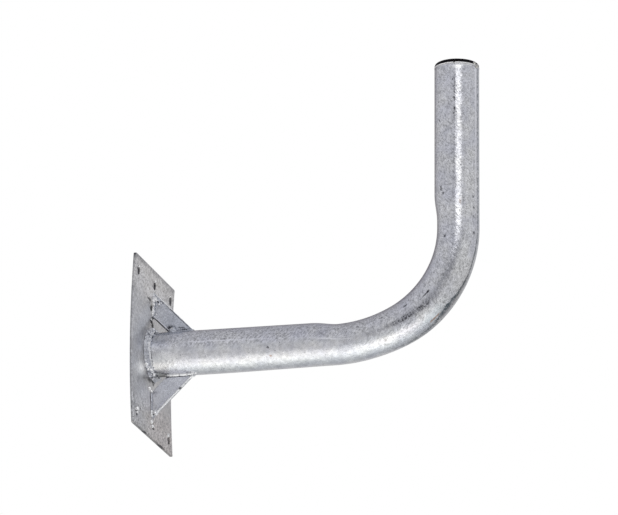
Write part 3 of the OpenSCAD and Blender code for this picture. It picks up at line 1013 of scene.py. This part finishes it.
# near is the side in the picture; legs at shares of the length from the open corner outwards
beads = (
    dict(
        name="upperPlateWeld", node="weld_upper_plate", side=1, onPlate=True,
        size=0.0044, wildness=0.6, freshAndHighlight=0.8,
        near=((0, 0.7), (0.22, 0.8), (0.34, 0.8), (0.43, 0.5), (0.52, 0.9), (0.7, 1.1), (0.8, 0.6),
              (0.86, 0.2), (1, 0.1)),
        far=((0, 1), (0.3, 1.2), (0.6, 0.9), (0.8, 0.4), (0.88, 0.15), (1, 0.1)),
        blobs=((7.6, -4.4, 63.4, 2), (5.8, -5.6, 61.6, 2.2), (9.2, -4, 61.8, 1.7),
               (11.4, -3.6, 57.6, 1.3), (5.6, -5.6, 57.2, 2), (5.2, -5.2, 53.6, 1.7),
               (4.2, -5.4, 49.2, 1.7), (8.4, -3.4, 46, 1.1), (3.6, -6.2, 40, 1.6),
               (13.8, -3.2, 58.6, 0.9)),
        marks=(mark((2.6, -6, 53.1), (2, 4, 2.4), black, 1),
               # painted shade in the corner at the bar's inner end
               mark((5.2, -5, 41.2), (1.4, 5, 2.2), dark, 1),
               mark((4.8, -6, 52.5), (1, 6, 6.5), white, 1, edge=0.3, turn=-0.23),
               mark((10.3, -4.5, 60), (1, 4, 1.4))),
    ),
    dict(
        name="upperTubeWeld", node="weld_upper_tube", side=1, onPlate=False,
        size=0.004, wildness=0.5, freshAndHighlight=0.05,
        near=((0, 0.5), (0.16, 0.6), (0.34, 0.6), (0.5, 0.45), (1, 0.45)),
        blobs=((28.2, -2.2, 25.6, 5),),
        # painted highlight on the lump
        marks=[mark((27.6, -6.2, 28.4), (1.2, 1.2, 0.6), grey(0.95))],
        # colours as dark as the upper bar's, carrying the same painted shade
        look=dict(pale=(0.52, 0.54, 0.59, 1), dull=(0.45, 0.47, 0.52, 1), grainDepth=0.08,
                  fineDepth=0.2, fleckDepth=0.2, rough=0.28, bump=0.00012),
    ),
    dict(
        name="lowerPlateWeld", node="weld_lower_plate", side=-1, onPlate=True,
        size=0.0044, wildness=0.2, freshAndHighlight=0.9,
        near=((0, 0.4), (0.2, 0.32), (0.7, 0.3), (0.86, 0.3), (0.92, 0.12), (1, 0.1)),
        far=((0, 1), (0.3, 1.2), (0.6, 0.9), (0.85, 0.5), (0.93, 0.15), (1, 0.1)),
        blobs=((4.2, -4.8, -66, 2.5), (4.4, -4.8, -69.2, 2.8), (9.2, -4, -68, 2.7),
               (8, -3.8, -65.4, 1.3)),
        depth=0.6,  # of the blobs
        marks=(mark((3.4, -4.5, -56), (0.8, 2, 9), edge=0.3),
               # painted shade between the two lumps
               mark((7, -6, -70.2), (0.8, 4, 1.2))),
        look=dict(pale=(0.62, 0.64, 0.69, 1), dull=(0.52, 0.53, 0.58, 1)),
    ),
    dict(
        name="lowerTubeWeld", node="weld_lower_tube", side=-1, onPlate=False,
        size=0.0036, wildness=0.25, freshAndHighlight=0.8,
        near=((0, 0.3), (0.1, 0.75), (0.5, 0.75), (0.8, 0.72), (0.92, 0.75), (1, 0.9)),
        lead=0.002,  # how much sooner its near side starts
        darkToe=True,
        blobs=((51.4, -5, -24.4, 2.2), (54.8, -3.6, -23.6, 1.9), (51, -3.8, -27.4, 1.5),
               (45.8, -4.4, -25.8, 1.2)),
        marks=(),
    ),
)


def makeGussetWeld(bead):
    side, size = bead["side"], bead["size"]
    run = gusset["leg"] - gussetInner + weld["longer"]
    inner = gussetInner - weld["before"]
    up = Vector((0, 0, side))
    bm = bmesh.new()
    bm.verts.layers.float.new("shade")
    for hand, legs in ((-1, bead["near"]), (1, bead.get("far", farLegs))):
        near = hand < 0
        lead = bead.get("lead", 0) if near else 0.0
        across = Vector((0, hand, 0)) * size
        face = hand * gusset["thickness"] / 2
        if bead["onPlate"]:
            start = Vector((plateFront, face, side * (tubeRadius + inner)))
            way, toA, seed = up, Vector((size, 0, 0)), 2.0
        else:
            seat = math.sqrt(tubeRadius ** 2 - (face + hand * size / 2) ** 2)
            start = Vector((plateFront + inner - lead, face, side * seat))
            way, toA, seed = Vector((1, 0, 0)), up * size, 4.0
        makeBead(bm, start, way, run + lead, toA, across, legs, seed + hand + side,
                 bead["wildness"], near and bead.get("darkToe"))
    if bead["onPlate"]:
        for v in bm.verts:
            v.co.x += bowAt(v.co.z)
    addBlobs(bm, bead["blobs"], 4.0 + side, bead["freshAndHighlight"], bead.get("depth", 1))
    tidyMesh(bm)
    look = dict(weldZinc, marks=bead["marks"], **bead.get("look", {}))
    finishPiece(bead["name"], bm, makeZinc("zinc on " + bead["name"], look), [bead["node"]])


def makeRim():
    t = tube
    bm = bmesh.new()
    shade = bm.verts.layers.float.new("shade")
    middle = Vector((reach, 0, tubeTop))
    edge = middle + Vector((t["radius"] - t["roll"] * t["rollInside"], 0, 0))
    shape = Matrix.Translation(edge) @ Matrix.Rotation(math.pi / 2, 4, "X")
    ring = bmesh.ops.create_circle(bm, segments=t["rollSides"], radius=t["roll"], matrix=shape)["verts"]
    spinRound(bm, ring + bm.edges[:], middle, (0, 0, 1), t["rollSteps"])
    for v in bm.verts:
        # painted highlight: the roll is painted white
        v[shade] = -t["rollHighlight"]
        v.co.z += t["rollLump"] * lumps(v.co, t["rollLumpSize"], 6)
    tidyMesh(bm)
    addBlobs(bm, t["drips"], 2, 0)
    look = dict(weldZinc, pale=(0.6, 0.585, 0.55, 1), dull=(0.42, 0.41, 0.39, 1))
    finishPiece("rim", bm, makeZinc("zinc on the rim", look))


# End plug

plug = dict(
    edge=0.0035, edgeSteps=8, dome=0.0001, lip=0.0002,
    floor=0.0005,  # of the hollow stem, below the tube's end
    stemRadius=0.0209, stemWall=0.002, stemLength=0.024,
    finReach=0.002, finHeight=0.002, fins=4,
    sides=120,
    pip=0.0009,  # where the moulding was cut off
    pipAside=0.0025, pipSunk=0.0002, pipUp=0.3,
    black=(0.004, 0.003, 0.004, 1), scuffed=(0.014, 0.012, 0.013, 1),
    grainSize=0.0009, grainBump=0.00004,
    scuffSize=0.004, scuffStretch=(1, 5, 1), scuffTurn=(0, 0, 0.6),
    rough=(0.24, 0.34), scuffRough=0.2, specular=0.05,
)


def makePlugMaterial():
    p = plug
    mat = newMaterial("black plug")
    coords = add(mat, "TexCoord").outputs["Object"]
    grain = noiseOn(mat, coords, p["grainSize"], 4, 0.6)
    drawn = stretch(mat, coords, p["scuffStretch"], p["scuffTurn"])
    scuff = noiseOn(mat, drawn, p["scuffSize"], 4, 0.7)
    colour = mixColour(mat, remap(mat, scuff, 0.55, 0.8), p["black"], p["scuffed"])
    rough = remap(mat, grain, 0.3, 0.7, *p["rough"])
    rough = plus(mat, rough, remap(mat, scuff, 0.5, 0.8, 0, p["scuffRough"]))
    wire(mat, {"Base Color": colour, "Roughness": rough, "Normal": bumpOn(mat, grain, p["grainBump"])})
    shiny(mat).inputs["Specular IOR Level"].default_value = p["specular"]
    return mat


def makePlug():
    p = plug
    head = plugHigh.z - tubeTop
    flat = tubeRadius - p["edge"]
    stem, inner = p["stemRadius"], p["stemRadius"] - p["stemWall"]
    fin, half = stem + p["finReach"], p["finHeight"] / 2
    outline = [(0, head), (flat * 0.5, head - p["dome"])]
    for i in range(p["edgeSteps"] + 1):
        angle = math.pi / 2 * i / p["edgeSteps"]
        out, up = p["edge"] * math.sin(angle), p["edge"] * math.cos(angle)
        outline.append((flat + out, head - p["edge"] + up))
    outline += [(tubeRadius, p["lip"]), (tubeRadius - p["lip"], 0), (stem, 0)]
    pitch = p["stemLength"] / (p["fins"] + 1)
    for i in range(1, p["fins"] + 1):
        z = -i * pitch
        outline += [(stem, z + half), (fin, z + half), (fin, z + half / 2), (stem, z - half)]
    end, floor = -p["stemLength"], -p["floor"]
    outline += [(stem, end), (inner, end), (inner, floor), (0, floor)]
    bm = bmesh.new()
    verts = [bm.verts.new((reach + r, 0, tubeTop + z)) for r, z in outline]
    edges = [bm.edges.new((a, b)) for a, b in zip(verts, verts[1:])]
    spinRound(bm, verts + edges, (reach, 0, 0), (0, 0, 1), p["sides"])
    tidyMesh(bm)
    pip = (reach + p["pipAside"], p["pipSunk"] - tubeRadius, tubeTop + p["pip"] * p["pipUp"])
    bmesh.ops.create_icosphere(bm, subdivisions=3, radius=p["pip"], matrix=Matrix.Translation(pip))
    keepSharp(finishPiece("endPlug", bm, makePlugMaterial(), ["end_plug"]), 40)


# Studio: surroundings that are palest about level, with soft glows and dark panels

studio = dict(
    # colour of the surroundings from straight down to straight up
    surround=(
        (0.00, (0.567, 0.586, 0.594)), (0.1, (0.553, 0.575, 0.596)), (0.2, (0.558, 0.575, 0.599)),
        (0.3, (0.632, 0.637, 0.655)), (0.4, (0.709, 0.712, 0.726)), (0.5, (0.719, 0.727, 0.744)),
        (0.65, (0.677, 0.684, 0.717)), (0.8, (0.628, 0.635, 0.682)), (1.00, (0.547, 0.552, 0.598)),
    ),
    floorDrop=8, floorRadius=24, floorSides=96,
    floorTint=grey(0.9), floorRough=0.8,
)
glows = (
    # azimuth from -Y towards +X, elevation, tightness, crispness of the edge, colour added
    (21, 25, 28, 2.4, (1.2, 1.2, 1.18)),
    (-65, -42, 9.1, 1, (0.76, 0.63, 0.57)),
    (11, -81, 5.4, 1, (0.85, 0.89, 0.86)),
    (41, -63, 14, 1, (0.51, 0.43, 0.4)),
    (80, 48, 8.1, 1, (0.15, 0.15, 0.11)),
    (149, -10, 13.9, 1, (-0.3, -0.31, -0.32)),  # below zero for dark panels
    (18, 3, 14.4, 1, (-0.34, -0.34, -0.32)),
    (-148, 25, 8.1, 1, (-0.4, -0.42, -0.44)),
)


def pointing(azimuth, elevation):
    a, e = math.radians(azimuth), math.radians(elevation)
    return Vector((math.sin(a) * math.cos(e), -math.cos(a) * math.cos(e), math.sin(e)))


def addGlow(world, way, light, azimuth, elevation, tightness, crispness, colour):
    facing = add(world, "VectorMath", {0: way, 1: pointing(azimuth, elevation)}, operation="DOT_PRODUCT")
    away = times(world, minus(world, 1, facing.outputs["Value"]), tightness)
    fall = maths(world, "POWER", maths(world, "MAXIMUM", away, 0), crispness)
    level = maths(world, "EXPONENT", times(world, fall, -1), 0)
    glow = add(world, "VectorMath", {0: colour, "Scale": level}, operation="SCALE").outputs[0]
    return vectorMaths(world, "ADD", light, glow)


def makeStudio():
    scene = bpy.context.scene
    world = bpy.data.worlds.new("studio")
    world.use_nodes = True
    scene.world = world
    world.node_tree.nodes.clear()
    way = add(world, "TexCoord").outputs["Generated"]
    height = add(world, "SeparateXYZ", {0: way}).outputs["Z"]
    ramp = add(world, "ValToRGB", {"Fac": remap(world, height, -1, 1)})
    stops = ramp.color_ramp.elements
    for position, colour in studio["surround"][1:-1]:
        stops.new(position)
    for stop, (position, colour) in zip(stops, studio["surround"]):
        stop.position = position
        stop.color = (*colour, 1)
    light = ramp.outputs["Color"]
    for glow in glows:
        light = addGlow(world, way, light, *glow)
    light = vectorMaths(world, "MAXIMUM", light, (0, 0, 0))
    soft = add(world, "Background", {"Color": light, "Strength": 1.0})
    plain = add(world, "Background", {"Color": (1, 1, 1, 1), "Strength": 1.0})
    seen = add(world, "LightPath").outputs["Is Camera Ray"]
    both = add(world, "MixShader", {0: seen, 1: soft.outputs[0], 2: plain.outputs[0]})
    add(world, "OutputWorld", {"Surface": both.outputs[0]})

    bm = bmesh.new()
    bmesh.ops.create_circle(bm, cap_ends=True, segments=studio["floorSides"],
                            radius=studio["floorRadius"])
    bmesh.ops.translate(bm, verts=bm.verts, vec=(0, 0, -studio["floorDrop"]))
    floor = newObject("floor", bm)
    pale = newMaterial("pale floor")
    shiny(pale).inputs["Base Color"].default_value = studio["floorTint"]
    shiny(pale).inputs["Roughness"].default_value = studio["floorRough"]
    floor.data.materials.append(pale)
    floor.visible_glossy = False
    print("studio with", len(glows), "glows")


camera = dict(
    azimuth=14.3, elevation=-16.156, roll=0.35,
    target=(0.183621, 0, 0.102228),
    distance=6.63066,
    lens=346.08, sensor=36, seesTo=60,
)


def makeCamera():
    c = camera
    back = pointing(c["azimuth"], c["elevation"])
    a, roll = math.radians(c["azimuth"]), math.radians(c["roll"])
    right = Vector((math.cos(a), math.sin(a), 0))
    up = back.cross(right)
    turned = right * math.cos(roll) + up * math.sin(roll)
    upright = up * math.cos(roll) - right * math.sin(roll)
    lens = bpy.data.cameras.new("camera")
    lens.lens = c["lens"]
    lens.sensor_width = c["sensor"]
    lens.clip_end = c["seesTo"]
    cam = bpy.data.objects.new("camera", lens)
    place = Matrix.Translation(Vector(c["target"]) + back * c["distance"])
    cam.matrix_world = place @ Matrix((turned, upright, back)).transposed().to_4x4()
    bpy.context.scene.collection.objects.link(cam)
    bpy.context.scene.camera = cam


makeTube()
makePlate()
makeGusset("upperGusset", "gusset_upper", 1)
makeGusset("lowerGusset", "gusset_lower", -1)
makeRootWeld()
makeRim()
for bead in beads:
    makeGussetWeld(bead)
makePlug()
makeStudio()
makeCamera()
bpy.context.scene.view_settings.view_transform = "Standard"
print("camera and light ready")
